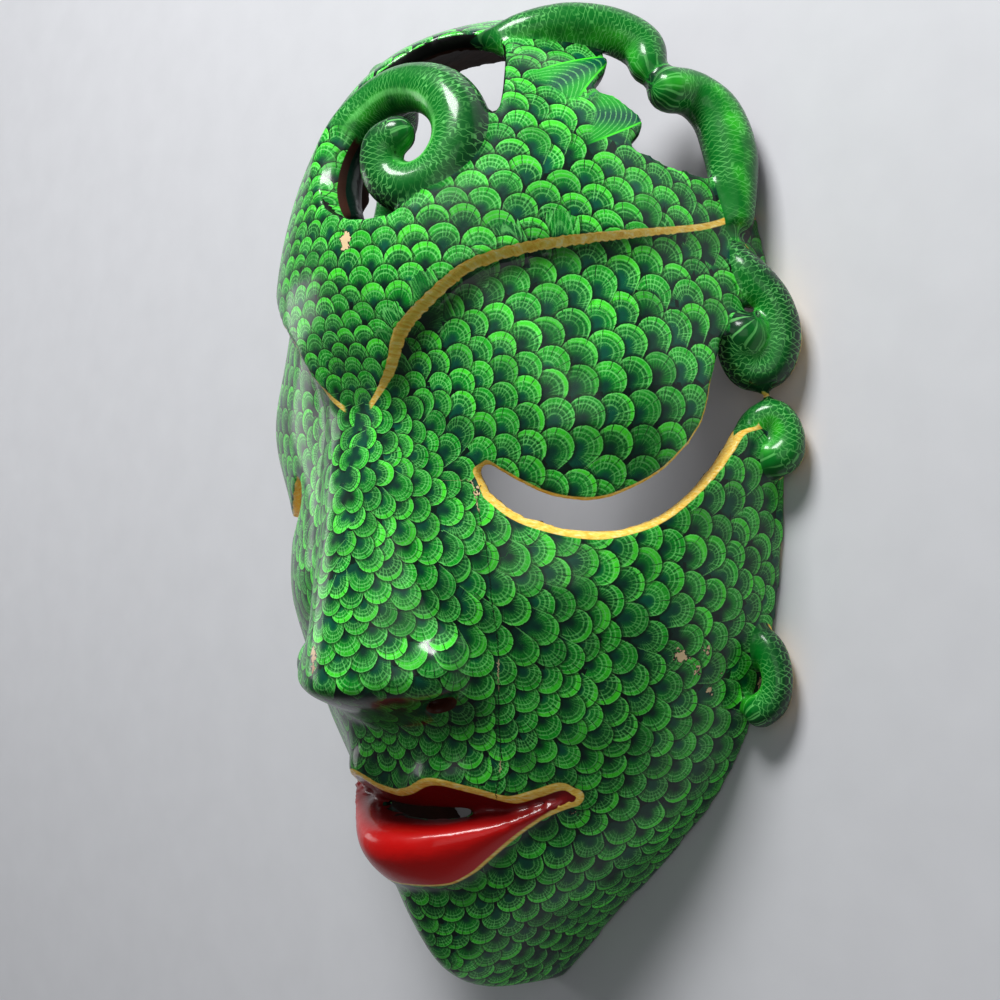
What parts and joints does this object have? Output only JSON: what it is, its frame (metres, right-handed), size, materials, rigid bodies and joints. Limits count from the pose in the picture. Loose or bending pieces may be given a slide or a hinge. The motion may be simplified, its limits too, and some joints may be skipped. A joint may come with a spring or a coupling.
{
  "type": "carved wooden face mask",
  "caption": "Carved and hollowed wooden face mask with lidded eye slits, parted lips, pierced scrollwork at the crown, and batik fish-scale painting.",
  "frame": {"origin": "middle of the mask's footprint, on the plane of its flat back rim", "axes": "+Y runs from the chin to the crown, +Z points out of the face, +X to the right of someone who looks at the face"},
  "size_m": [0.2906, 0.4592, 0.1497],
  "materials": {
    "painted_wood": "green batik painting under a gloss varnish"
  },
  "bodies": {
    "root": {"mask": "painted_wood"}
  },
  "joints": []
}
